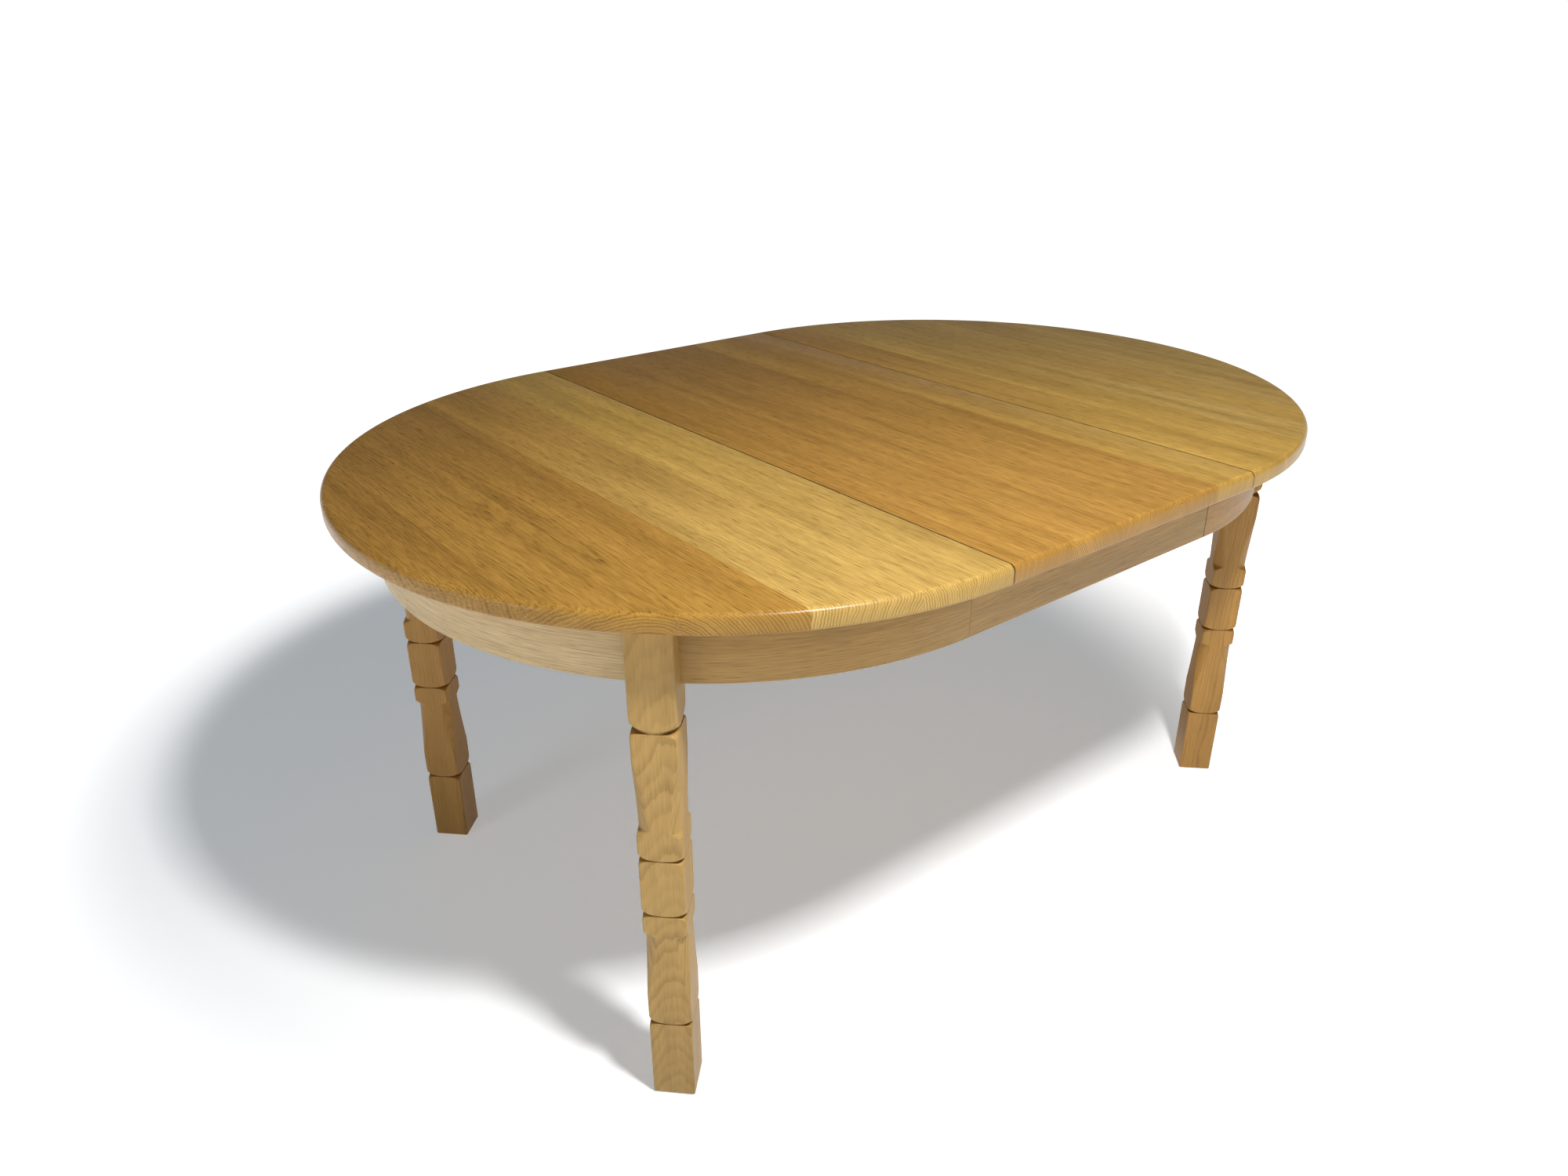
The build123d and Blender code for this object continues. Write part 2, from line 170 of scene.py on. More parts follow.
# %% [markdown]
# Every finish starts the same way: a material with one surface shader, and the place of each point on
# the piece. Patterns read Object coordinates, so they run through the solid like real grain and need
# no unwrapping.

# %% Where a finish starts
white = (1, 1, 1, 1)


def bare_finish(name, values):
    """A finish and its surface shader, with some of the shader's inputs set."""
    finish = bpy.data.materials.new(name)
    finish.use_nodes = True
    shader = finish.node_tree.nodes["Principled BSDF"]
    for socket, value in values.items():
        shader.inputs[socket].default_value = value
    return finish, shader


def read_point(finish, kind):
    """The X, Y and Z that a finish reads at each point.

    "Object" gives the place on a piece, "Normal" where its surface faces, and "Generated" the
    direction in a room.
    """
    place = finish.node_tree.nodes.new("ShaderNodeTexCoord")
    return Signal(finish.node_tree, place.outputs[kind]).split()


def patches(lie, spread):
    """Random patches drawn out along the grain, from about -0.25 to 0.25."""
    along, across, depth = lie
    per_along, per_across, layers = spread
    stretched = {0: along * per_along, 1: across * per_across, 2: depth * per_across}
    point = along.node("ShaderNodeCombineXYZ", None, stretched)
    inputs = {"Vector": point, "Scale": 1.0, "Detail": layers}
    return along.node("ShaderNodeTexNoise", None, inputs) - 0.5


print("finishes can be started")

# %% [markdown]
# ## Grow the oak
# Oak lays down one ring each year. Every ring starts with a band of wide pores, the dark early wood,
# and ends with dense pale late wood, so the change is sharp on one side and soft on the other. A
# board shows whatever its saw cut crosses: close lines when it was cut towards the heart of the tree,
# wide flames when it was cut beside it. The finish therefore works in the solid: each point asks how
# far it lies from the heart of its tree.

# %% The rings of a tree
ring_width = 0.0034
ring_ripple = 0.005
sway_across = 0.05
sway_depth = 0.08
second_sway = 7.0
weakest_ring = 0.2
# Parts of a year's growth: where the early wood sets in, and where it fades into late wood.
early_wood_starts = (0.0, 0.12)
early_wood_fades = (0.15, 0.8)
# Patches to the metre along the grain and across it, and how many finer layers they have.
sway_patches = (1.3, 6.0, 1.0)
ripple_patches = (14.0, 70.0, 3.0)


def early_wood_rings(along, lie, heart, seed, wander, slope):
    """How much of the dark early wood of a ring shows at a point.

    heart is where the tree's centre runs, across and below. wander is how much it strays, and slope
    how fast it drops away along the piece, which draws the rings out into arches.
    """
    shifted, across, depth = lie
    stray_across = patches(lie, sway_patches) * (sway_across * wander)
    stray_depth = patches((shifted + second_sway, across, depth), sway_patches) * (sway_depth * wander)
    aside = across - heart[0] + stray_across
    above = depth - heart[1] + stray_depth + along * slope
    distance = (aside * aside + above * above) ** 0.5 + patches(lie, ripple_patches) * ring_ripple
    years = distance / ring_width + seed
    season = years.math("FRACT")
    year = {"W": years.math("FLOOR")}
    luck = years.node("ShaderNodeTexWhiteNoise", {"noise_dimensions": "1D"}, year)
    strength = luck * (1 - weakest_ring) + weakest_ring
    return season.rise(*early_wood_starts) * (1 - season.rise(*early_wood_fades)) * strength


print("a tree ring is", 1000 * ring_width, "mm wide")

# %% [markdown]
# ## Paint shade into the seams
# The seams beside the leaf are open gaps that light hardly enters, so a thin dark line of shade sits
# along them. A modelled gap would have to be cut into every board, so the shade is painted by how far
# a point lies from the seam.

# %% Painted shade in the seams
# The colour and width of the painted shade in the open seams.
seam_shade = (0.02, 0.012, 0.004, 1)
seam_shade_width = (0.0004, 0.0017)
seam_facing = (0.75, 0.9)


def painted_seam_shade(finish, left_too):
    """A line of painted shade beside the right seam, and the left one too if left_too says so.

    Faces that look straight at a seam get no painted shade, because they show when the halves are
    pulled apart.
    """
    sideways = read_point(finish, "Object")[0]
    if left_too:
        sideways = abs(sideways)
    beside = 1 - abs(sideways - half_leaf).rise(*seam_shade_width)
    toward_seam = abs(read_point(finish, "Normal")[0])
    return beside * (1 - toward_seam.rise(*seam_facing))


print("the line of dirt is about", 1000 * seam_shade_width[1], "mm wide")

# %% [markdown]
# ## Put the oak together
# Over the rings lie finer things: pores, fibres, long streaks and slow changes of tone. Sawn ends
# show the rings far more strongly than the long grain does, and their pores are only dots. All of
# this adds up to one value, the shade, which makes the tone of the wood lighter or darker.

# %% The oak finish
seed_step = 3.7
fibre_patches = (17.0, 460.0, 3.0)
streak_patches = (1.6, 46.0, 3.0)
tone_patches = (2.6, 11.0, 2.0)
pore_patches = (40.0, 800.0, 1.0)
fibre_strength = 1.5
tone_strength = 0.8
middle_shade = 0.42
shade_range = (-0.25, 1.25)
end_facing = (0.3, 0.9)
end_figure = 1.1
end_shade = 0.165
end_pore_loss = 0.8
pore_edge = (0.0, 0.18)
late_wood_pores = 0.4
pore_roughness = 0.2
pore_sink = 0.8
early_wood_sink = 0.2
sink_depth = 0.0004
sink_strength = 0.3
late_wood_light = (1.3, 1.3, 1.3, 1)
early_wood_dark = (0.62, 0.58, 0.5, 1)
pore_dark = (0.25, 0.2, 0.15, 1)
# Painted sheen: the upright sides of the top are tinted paler and greyer, for the white floor they
# mirror.
rim_sheen_tint = (1.04, 1.08, 1.18, 1)
# Where along a board the painted shade of its far end fades in, from near to far.
far_shade_span = (-0.55, 0.45)


def oak(name, lay, heart, tone, seed, style, far_shaded_tone=None, wander=0.5, slope=0.0):
    """Oak whose grain lies as lay says.

    far_shaded_tone is the darker tone at the far end of a board, away from the front lamp: painted
    shade where the lamp's light falls off, on top of some change of tone along the board. In style,
    figure is how strongly the rings show, grain how strong the fine streaks are, pore_depth how dark
    the pores are, gloss how much the oiled surface mirrors, and sawn_ends is 1 where the end grain
    shows.
    """
    finish, shader = bare_finish(name, {"Specular IOR Level": style["gloss"]})
    along, across, depth = lay(*read_point(finish, "Object"))
    lie = (along + seed * seed_step, across, depth)
    early_wood = early_wood_rings(along, lie, heart, seed, wander, slope)
    toward_end, upward = read_point(finish, "Normal")[1:]
    end_grain = abs(toward_end).rise(*end_facing) * style["sawn_ends"]
    long_grain = 1 - end_grain * end_pore_loss

    pore_share = early_wood * (1 - late_wood_pores) + late_wood_pores
    pores = patches(lie, pore_patches).rise(*pore_edge) * pore_share * long_grain * style["pore_depth"]
    lines = patches(lie, fibre_patches) * fibre_strength + patches(lie, streak_patches)
    streaks = lines * long_grain * style["grain"]
    rings = early_wood * (end_grain * end_figure + style["figure"]) + end_grain * end_shade
    shade = rings + streaks + patches(lie, tone_patches) * tone_strength + middle_shade
    light = shade.rise(*shade_range).mix(late_wood_light, early_wood_dark)
    light = pores.mix(light, pore_dark)

    tone_with_far_shade = (*tone, 1)
    # Towards its far end a board darkens: painted shade where the front lamp's light falls off, on top
    # of some change of tone.
    if far_shaded_tone:
        tone_with_far_shade = along.rise(*far_shade_span).mix(tone_with_far_shade, (*far_shaded_tone, 1))
    colour = light.tint(tone_with_far_shade)
    # The upright sides of the top get the painted sheen: paler and greyer, for the white floor they
    # mirror.
    if style["sawn_ends"]:
        rim = 1 - abs(upward).rise(*end_facing)
        colour = colour.tint(rim.mix(white, rim_sheen_tint))
    # A thin line of painted shade along the seams, where the open gaps are dark.
    colour = painted_seam_shade(finish, style["left_seam"]).mix(colour, seam_shade)
    colour.feed(shader, "Base Color")
    (pores * pore_roughness + style["roughness"]).feed(shader, "Roughness")
    height = 1 - pores * pore_sink - early_wood * early_wood_sink
    bump = {"Strength": sink_strength, "Distance": sink_depth, "Height": height}
    height.node("ShaderNodeBump", None, bump).feed(shader, "Normal")
    return finish


print("the oak can be sawn")

# %% [markdown]
# ## Choose tones and styles
# Oiled oak ranges from straw to brown. The top is sanded finest and shows the most grain and pores,
# the apron is plain, and the legs show strong rings but few streaks.

# %% Tones and styles
straw = (0.48, 0.31, 0.088)
wheat = (0.46, 0.28, 0.058)
honey = (0.45, 0.275, 0.064)
toffee = (0.385, 0.208, 0.048)
amber = (0.375, 0.205, 0.043)
umber = (0.33, 0.172, 0.036)
biscuit = (0.395, 0.249, 0.078)
# A pale, grey tone that holds painted sheen, for the apron end that faces the side lamp.
pale_sheen_tone = (0.50, 0.375, 0.2)
nutmeg = (0.37, 0.2, 0.05)
# A little darker than nutmeg, for the front apron and the leaf's skirts: wood tone with painted shade
# of the near leg and the top's overhang.
bracken_with_shade = (0.335, 0.2, 0.056)
top_style = {
    "figure": 0.3,
    "grain": 1.0,
    "pore_depth": 0.75,
    "gloss": 0.18,
    "roughness": 0.28,
    "sawn_ends": 1.0,
    "left_seam": True,
}
apron_style = {
    "figure": 0.14,
    "grain": 0.8,
    "pore_depth": 0.4,
    "gloss": 0.25,
    "roughness": 0.44,
    "sawn_ends": 0.0,
    "left_seam": False,
}
leg_style = {**apron_style, "figure": 0.34, "grain": 0.4, "pore_depth": 0.2}
print("styles of oak:", len((top_style, apron_style, leg_style)))

# %% [markdown]
# ## Turn shapes into pieces
# A bmesh is a shape on the workbench. When it is done, it becomes an object with a finish, hung on
# the body it rides on, and the measured piece it stands for is hidden. Edges turn soft or stay crisp
# by their angle.

# %% Helpers for the workbench
sharp_angle = radians(50)
tiny = 0.00001


def new_object(name, shape):
    """Put a worked shape into the scene."""
    mesh = bpy.data.meshes.new(name)
    shape.to_mesh(mesh)
    shape.free()
    made = bpy.data.objects.new(name, mesh)
    bpy.context.collection.objects.link(made)
    return made


def add_piece(name, shape, finish, body, node):
    """Turn a worked shape into a piece that moves with a body and stands for a measured piece."""
    bmesh.ops.recalc_face_normals(shape, faces=shape.faces[:])
    piece = new_object(name, shape)
    mesh = piece.data
    mesh.polygons.foreach_set("use_smooth", [True] * len(mesh.polygons))
    mesh.set_sharp_from_angle(angle=sharp_angle)
    mesh.materials.append(finish)
    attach(piece, body)
    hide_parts(node)
    return piece


def everything(shape):
    """All corners, edges and faces of a shape."""
    return shape.verts[:] + shape.edges[:] + shape.faces[:]


def is_edge(part):
    """Whether a part of a shape is an edge."""
    return isinstance(part, bmesh.types.BMEdge)


def edges_at(shape, level):
    """The edges that lie flat at one height."""
    return [edge for edge in shape.edges if all(abs(end.co.z - level) < tiny for end in edge.verts)]


def round_off(shape, edges, size, steps):
    """Take the sharpness off some edges, in one flat step or in several round ones."""
    bmesh.ops.bevel(
        shape, geom=edges, offset=size, affect="EDGES", segments=steps, profile=0.5, material=-1
    )


print("edges stay crisp above", round(sharp_angle, 2), "radians")

# %% [markdown]
# ## Make the top as one panel
# The real top is glued up from boards, cut round, and only then moulded along its edge. Boards made
# one by one would have to match at every joint, so we go the joiner's way: one oval panel with a
# generous round above and a small one below. It starts as a disc, and its two halves are pulled
# apart by the width of the leaf.

# %% Make the oval panel
rim_steps = 240
upper_round = 0.009
lower_round = 0.004
runner_clearance = 0.0001


def oval_panel():
    """A disc as thick as the top, pulled apart by the leaf, with both rims rounded.

    It stays a hair above the runners, which slide along under it.
    """
    panel = bmesh.new()
    bottom = underside + runner_clearance
    thickness = table_height - bottom
    middle = Matrix.Translation((0, 0, bottom + thickness / 2))
    turn = Matrix.Rotation(pi / rim_steps, 4, "Z")
    bmesh.ops.create_cone(
        panel,
        cap_ends=True,
        segments=rim_steps,
        radius1=end_radius,
        radius2=end_radius,
        depth=thickness,
        matrix=middle @ turn,
    )
    for corner in panel.verts:
        corner.co.x += copysign(half_leaf, corner.co.x)
    round_off(panel, edges_at(panel, table_height), upper_round, 6)
    round_off(panel, edges_at(panel, bottom), lower_round, 3)
    return panel


panel = oval_panel()
print("panel faces:", len(panel.faces))

# %% [markdown]
# ## Saw the panel into boards
# A saw cut at each joint gives the boards. They meet without a groove, because glued boards are
# planed flush. Only the two seams beside the leaf get a small bevel, so that they don't catch a
# sleeve.

# %% Saw one board
seam_bevel = 0.001
seam_reach = 0.0005


def saw_board(name):
    """Cut one board out of the panel between the measured joints."""
    low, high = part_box(name)
    board = panel.copy()
    for place, inner in ((low.x, True), (high.x, False)):
        cut = bmesh.ops.bisect_plane(
            board,
            geom=everything(board),
            plane_co=(place, 0, 0),
            plane_no=(1, 0, 0),
            clear_inner=inner,
            clear_outer=not inner,
        )
        bmesh.ops.holes_fill(board, edges=[part for part in cut["geom_cut"] if is_edge(part)], sides=0)
    return board


def at_seam(edge):
    """Whether an edge runs along one of the seams beside the leaf."""
    return all(abs(abs(end.co.x) - half_leaf) < seam_reach for end in edge.verts)


def bevel_seams(board):
    """Break the upper edge of a board that lies beside a seam."""
    seam_edges = [edge for edge in edges_at(board, table_height) if at_seam(edge)]
    if seam_edges:
        round_off(board, seam_edges, seam_bevel, 1)


def lay_board(middle):
    """Grain along Y, in a board whose middle is at that X."""

    def lay(x, y, z):
        return y, x - middle, z - table_height

    return lay


print("seam bevel:", 1000 * seam_bevel, "mm")

# %% [markdown]
# ## Give each board its own tree
# Boards in one top rarely come from one log. Here each board has its own tone, its own distance from
# the heart and its own seed. The left half has pale boards beside the seam and darker ones outside,
# with a flame where the saw passed close to the heart. A heart far to one side gives straight lines.

# %% Make the boards
# name: tone, darker tone at the far end with painted shade, heart across, heart below, wander
board_logs = {
    "left_board_1": (straw, wheat, 0.16, -0.05, 0.5),
    "left_board_2": (straw, wheat, -0.12, -0.03, 0.5),
    "left_board_3": (straw, amber, 0.20, -0.06, 0.6),
    "left_board_4": (amber, umber, -0.06, -0.05, 0.9),
    "left_board_5": (amber, umber, 0.03, -0.07, 0.8),
    "left_board_6": (amber, umber, -0.15, -0.04, 0.8),
    "right_board_1": (honey, toffee, 0.10, -0.04, 0.7),
    "right_board_2": (honey, honey, -0.14, -0.05, 0.6),
    "right_board_3": (straw, honey, 0.09, -0.06, 0.7),
    "right_board_4": (honey, honey, 0.12, -0.03, 0.6),
    "right_board_5": (straw, honey, -0.10, -0.05, 0.7),
    "right_board_6": (straw, honey, 0.15, -0.05, 0.8),
    "leaf_board_1": (toffee, umber, 0.13, -0.04, 0.7),
    "leaf_board_2": (toffee, umber, -0.10, -0.05, 0.7),
    "leaf_board_3": (toffee, umber, 0.08, -0.06, 0.8),
    "leaf_board_4": (toffee, amber, -0.12, -0.04, 0.6),
    "leaf_board_5": (honey, toffee, 0.14, -0.05, 0.7),
}
bodies = {"left": "left_half", "right": "right_half", "leaf": "leaf"}
for seed, (name, (tone, far_shaded_tone, across, below, wander)) in enumerate(board_logs.items(), 1):
    low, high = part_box(name)
    lay = lay_board((low.x + high.x) / 2)
    finish = oak("oak_" + name, lay, (across, below), tone, seed, top_style, far_shaded_tone, wander)
    board = saw_board(name)
    bevel_seams(board)
    add_piece("top_" + name, board, finish, bodies[name.split("_")[0]], name)
panel.free()
print("boards sawn:", len(board_logs))

# %% [markdown]
# Dowels in the edges of the two halves keep the leaf level. The leaf is lowered over them from above,
# so its slots are open below. A saw can't make them, so here a cutter is taken away from the board.

# %% Slot the leaf for the dowels
slot_gap = 0.0005


def slot_cutter(dowels_name, side):
    """Blocks that clear the dowels of one half, all the way down through the board's underside."""
    low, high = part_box(dowels_name)
    radius = (high.z - low.z) / 2
    reach = half_leaf - min(abs(low.x), abs(high.x)) + slot_gap
    slot_top = high.z + slot_gap
    slot_bottom = underside - slot_gap
    size = Matrix.Diagonal((2 * reach, 2 * (radius + slot_gap), slot_top - slot_bottom, 1))
    cutter = bmesh.new()
    for place in (low.y + radius, 0, high.y - radius):
        middle = Matrix.Translation((side * half_leaf, place, (slot_top + slot_bottom) / 2))
        bmesh.ops.create_cube(cutter, size=1, matrix=middle @ size)
    return new_object("slot_cutter", cutter)


def take_away(piece, cutter):
    """Cut one shape out of a piece for good."""
    cut = piece.modifiers.new("slots", "BOOLEAN")
    cut.operation = "DIFFERENCE"
    cut.solver = "EXACT"
    cut.object = cutter
    worked = piece.evaluated_get(bpy.context.evaluated_depsgraph_get())
    mesh = bpy.data.meshes.new_from_object(worked)
    piece.modifiers.clear()
    piece.data = mesh
    mesh.set_sharp_from_angle(angle=sharp_angle)
    bpy.data.objects.remove(cutter)


for board_name, dowels_name, side in (
    ("top_leaf_board_1", "seam_dowels_left", -1),
    ("top_leaf_board_5", "seam_dowels_right", 1),
):
    board = bpy.data.objects[board_name]
    take_away(board, slot_cutter(dowels_name, side))
    print(board_name, "has", len(board.data.polygons), "faces after slotting")

# %% [markdown]
# ## Bend the apron
# The apron follows the round ends, so it is bent, or sawn from thick stock and veneered. Its grain
# runs round with it. A flat slice of the apron is spun about the centre of its half, from leg to leg,
# and its lower edges lose their sharpness to a little sandpaper.

# %% Bend one piece of apron
apron_steps = 60
apron_edge = 0.0015


def lower_edges(shape):
    """The long edges along the bottom of an apron piece."""
    return [edge for edge in edges_at(shape, apron_bottom) if len(edge.link_faces) == 2]


def bend_apron(start, end, side):
    """A piece of apron between two angles about the centre of its half, in degrees."""
    place = Matrix.Translation((apron_radius - apron_thickness / 2, 0, apron_bottom + skirt_height / 2))
    stand = Matrix.Rotation(pi / 2, 4, "X") @ Matrix.Diagonal((apron_thickness, skirt_height, 1, 1))
    slice_at = Matrix.Rotation(radians(start), 4, "Z") @ place @ stand
    rail = bmesh.new()
    bmesh.ops.create_grid(rail, x_segments=1, y_segments=1, size=0.5, matrix=slice_at)
    bmesh.ops.spin(
        rail,
        geom=everything(rail),
        cent=(0, 0, 0),
        axis=(0, 0, 1),
        angle=radians(end - start),
        steps=apron_steps,
    )
    if side < 0:
        bmesh.ops.scale(rail, vec=(-1, 1, 1), verts=rail.verts[:])
    bmesh.ops.translate(rail, vec=(side * half_leaf, 0, 0), verts=rail.verts[:])
    round_off(rail, lower_edges(rail), apron_edge, 2)
    return rail


def lay_round(centre):
    """Grain along the bend, about a centre on the X axis."""

    def lay(x, y, z):
        out = x - centre
        radius = (out * out + y * y) ** 0.5
        return y.math("ARCTAN2", out) * apron_radius, z - apron_bottom, radius - apron_radius

    return lay


print("one bend has", apron_steps, "steps")

# %% [markdown]
# Each half has three pieces of apron: one across the end, and one on each side, from the leg to the
# seam. The end piece on the left is painted paler and greyer: painted sheen of the white floor and the
# side lamp it faces.

# %% Make the apron
apron_heart = (-0.13, -0.05)
# name: where it starts and ends, tone, seed
apron_logs = {
    # The left end piece is painted pale: painted sheen of the bright floor and side lamp it faces.
    "apron_left_end": (-45, 45, pale_sheen_tone, 43),
    # The front piece beside the near leg is darker: painted shade of the leg and the top's overhang.
    "apron_left_front": (-90, -45, bracken_with_shade, 44),
    "apron_left_back": (45, 90, nutmeg, 46),
    "apron_right_end": (-45, 45, nutmeg, 44),
    "apron_right_front": (-90, -45, nutmeg, 45),
    "apron_right_back": (45, 90, nutmeg, 47),
}
sides = {"left": -1, "right": 1}
for name, (start, end, tone, seed) in apron_logs.items():
    side_name = name.split("_")[1]
    side = sides[side_name]
    finish = oak("oak_" + name, lay_round(side * half_leaf), apron_heart, tone, seed, apron_style)
    rail = bend_apron(start, end, side)
    add_piece("bent_" + name, rail, finish, bodies[side_name], name)
print("bent apron pieces:", len(apron_logs))

# %% [markdown]
# The loose leaf carries its own straight piece of apron, a skirt, so that the line under the top runs
# through from half to half. It is a plain board with soft lower edges.

# %% Make the leaf's skirts
skirt_seeds = {"leaf_skirt_front": 66, "leaf_skirt_back": 65}


def lay_straight(x, y, z):
    """Grain along X."""
    return x, z - apron_bottom, y


for name, seed in skirt_seeds.items():
    low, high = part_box(name)
    skirt = bmesh.new()
    block = Matrix.Translation((low + high) / 2) @ Matrix.Diagonal((*(high - low), 1))
    bmesh.ops.create_cube(skirt, size=1, matrix=block)
    round_off(skirt, lower_edges(skirt), apron_edge, 2)
    finish = oak("oak_" + name, lay_straight, apron_heart, bracken_with_shade, seed, apron_style)
    add_piece("straight_" + name, skirt, finish, "leaf", name)
print("skirts made:", len(skirt_seeds))

# %% [markdown]
# ## Turn the legs
# Each leg starts as a square post and goes on the lathe. The turner only ever touches the corners: a
# parting tool cuts four thin grooves, a gouge rounds the shoulders beside them, and two long hollows
# make necks that end in a collar. Where the square and the turned shape meet, each flat face is left
# with a curved outline, so the blocks look like little cushions.

# %% The turned shape of a leg
corner_softness = 0.001
corner_reach = (leg_high.x - leg_low.x) / 2
half_leg = (corner_reach + corner_softness) / sqrt(2)
half_slit = 0.00075
slit_depth = 0.001
groove_root = half_leg - slit_depth
shoulder = 0.009
foot_top, lower_top, pillow_top, upper_top = 0.127, 0.309, 0.395, 0.578
rounds_above = {foot_top: 0.012, lower_top: 0.012, pillow_top: 0.012, upper_top: 0.020}
lower_collar = 0.026
upper_collar = 0.034
neck_reach = 0.031
neck_ledge = 0.010
neck_length = 0.097
neck_flare = 0.6
# Where each collar ends, and whether its neck runs down or up from there.
necks = {lower_top - lower_collar: -1, pillow_top + upper_collar: 1}


def ease(part):
    """0 to 1 with a soft start and end."""
    part = min(1, max(0, part))
    return part * part * (3 - 2 * part)


def quarter_round(radius, rise):
    """How much a rounded shoulder still lacks of the full corner, this far from its groove."""
    return radius - sqrt(radius ** 2 - (radius - rise) ** 2)


def turned_reach(z):
    """How far from its axis the lathe leaves wood on a leg, at one height."""
    reach = corner_reach
    for groove, above in rounds_above.items():
        over = z - groove - half_slit
        under = groove - half_slit - z
        if over < 0 and under < 0:
            return groove_root
        if 0 <= over < above:
            reach = max(groove_root, corner_reach - quarter_round(above, over))
        if 0 <= under < shoulder:
            reach = max(groove_root, corner_reach - quarter_round(shoulder, under))
    neck_depth = corner_reach - neck_reach
    for collar_end, direction in necks.items():
        past = direction * (z - collar_end)
        if 0 <= past < neck_ledge:
            reach = corner_reach - neck_depth * ease(past / neck_ledge)
        elif neck_ledge <= past < neck_ledge + neck_length:
            part = (past - neck_ledge) / neck_length
            reach = neck_reach + neck_depth * ((1 - neck_flare) * part + neck_flare * part ** 2)
    return reach


print("legs are", round(2000 * half_leg, 1), "mm square, with necks of", 2000 * neck_reach, "mm")

# %% [markdown]
# A spin would make a leg that is round all over. So we start from a ring of points on the floor, draw
# it up step by step, and let each point lie on the square or on the turned shape, whichever is nearer
# to the middle. The points need to be close together where the shape turns quickly: at the corners of
# the square, beside each groove and at the collars. Elsewhere a few are enough.

# %% Shape one leg
leg_points = 128
leg_step = 0.004
ledge_steps = 8
shoulder_steps = 8
round_steps = 12
corner_crowding = 0.6
foot_bevel = 0.002


def leg_heights():
    """Heights at which a leg is drawn: every few millimetres, and closely where it changes."""
    heights = {0, foot_bevel, underside}
    heights.update(leg_step * step for step in range(1, round(underside / leg_step)))
    for collar_end, direction in necks.items():
        ledge = direction * neck_ledge
        heights.update(collar_end + ledge * step / ledge_steps for step in range(ledge_steps + 1))
    for groove, above in rounds_above.items():
        bottom = groove - half_slit
        top = groove + half_slit
        heights -= {height for height in heights if bottom - shoulder < height < top + above}
        heights.update((bottom + tiny, top - tiny))
        for step in range(shoulder_steps + 1):
            heights.add(bottom - shoulder * (1 - sin(pi / 2 * step / shoulder_steps)))
        for step in range(round_steps + 1):
            heights.add(top + above * (1 - cos(pi / 2 * step / round_steps)))
    return sorted(heights)


def corner_spacing(angle):
    """Draw points together at the corners, which lie between the four faces."""
    quarter = pi / 2
    from_corner = ((angle / quarter) % 1 - 0.5) * 2
    return angle - quarter / 2 * corner_crowding * (from_corner - from_corner ** 3)


def shape_leg():
    """One leg on the Z axis, its faces square to X and Y."""
    leg = bmesh.new()
    ring = bmesh.ops.create_circle(leg, cap_ends=True, segments=leg_points, radius=1)["verts"]
    edges = leg.edges[:]
    rings = [(0, ring)]
    for height in leg_heights()[1:]:
        drawn = bmesh.ops.extrude_edge_only(leg, edges=edges)["geom"]
        ring = [part for part in drawn if isinstance(part, bmesh.types.BMVert)]
        edges = [part for part in drawn if is_edge(part)]
        bmesh.ops.translate(leg, vec=(0, 0, height - rings[-1][0]), verts=ring)
        rings.append((height, ring))
    bmesh.ops.holes_fill(leg, edges=edges, sides=0)
    for height, ring in rings:
        drawn_in = foot_bevel if height == 0 else 0
        square = half_leg - drawn_in
        turned = turned_reach(height) - drawn_in
        for point in ring:
            angle = corner_spacing(atan2(point.co.y, point.co.x))
            reach = min(square / max(abs(cos(angle)), abs(sin(angle))), turned)
            point.co.x = reach * cos(angle)
            point.co.y = reach * sin(angle)
    return leg


print("a leg is drawn at", len(leg_heights()), "heights")

# %% [markdown]
# The four legs are alike, and each stands with one face looking out from the centre of its half. Each
# comes from its own log. They were sawn at a slant to the heart of the tree, so the rings come out
# as arches, most of all on the near leg.

# %% Set the legs under the table
# name: tone, heart across, heart below, slope
leg_logs = {
    "leg_left_front": (biscuit, 0.0, -0.065, 0.12),
    "leg_left_back": (nutmeg, 0.05, -0.03, 0.06),
    "leg_right_front": (nutmeg, -0.07, 0.02, -0.05),
    "leg_right_back": (biscuit, 0.04, 0.05, 0.04),
}
first_leg_seed = 70


def lay_leg(centre, turn):
    """Grain up the leg, with one face looking out from the table."""

    def lay(x, y, z):
        out = (x - centre.x) * cos(turn) + (y - centre.y) * sin(turn)
        aside = (y - centre.y) * cos(turn) - (x - centre.x) * sin(turn)
        return z, aside, out

    return lay


for seed, (name, (tone, across, below, slope)) in enumerate(leg_logs.items(), first_leg_seed):
    low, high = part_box(name)
    centre = (low + high) / 2
    turn = atan2(centre.y, centre.x - copysign(half_leaf, centre.x))
    leg = shape_leg()
    bmesh.ops.rotate(leg, cent=(0, 0, 0), matrix=Matrix.Rotation(turn, 3, "Z"), verts=leg.verts[:])
    bmesh.ops.translate(leg, vec=(centre.x, centre.y, 0), verts=leg.verts[:])
    lay = lay_leg(centre, turn)
    finish = oak("oak_" + name, lay, (across, below), tone, seed, leg_style, slope=slope)
    add_piece("turned_" + name, leg, finish, bodies[name.split("_")[1]], name)
print("legs turned:", len(leg_logs))

# %% [markdown]
# ## Finish what lies underneath
# The runners, rails and blocks are beech, which is plain and hard, and they are only sanded. Beech has
# short dark flecks instead of rings. Pins and dowels are the same wood, a little paler, and the bolts
# and screws are zinc-plated steel. Their measured shapes are good as they are.

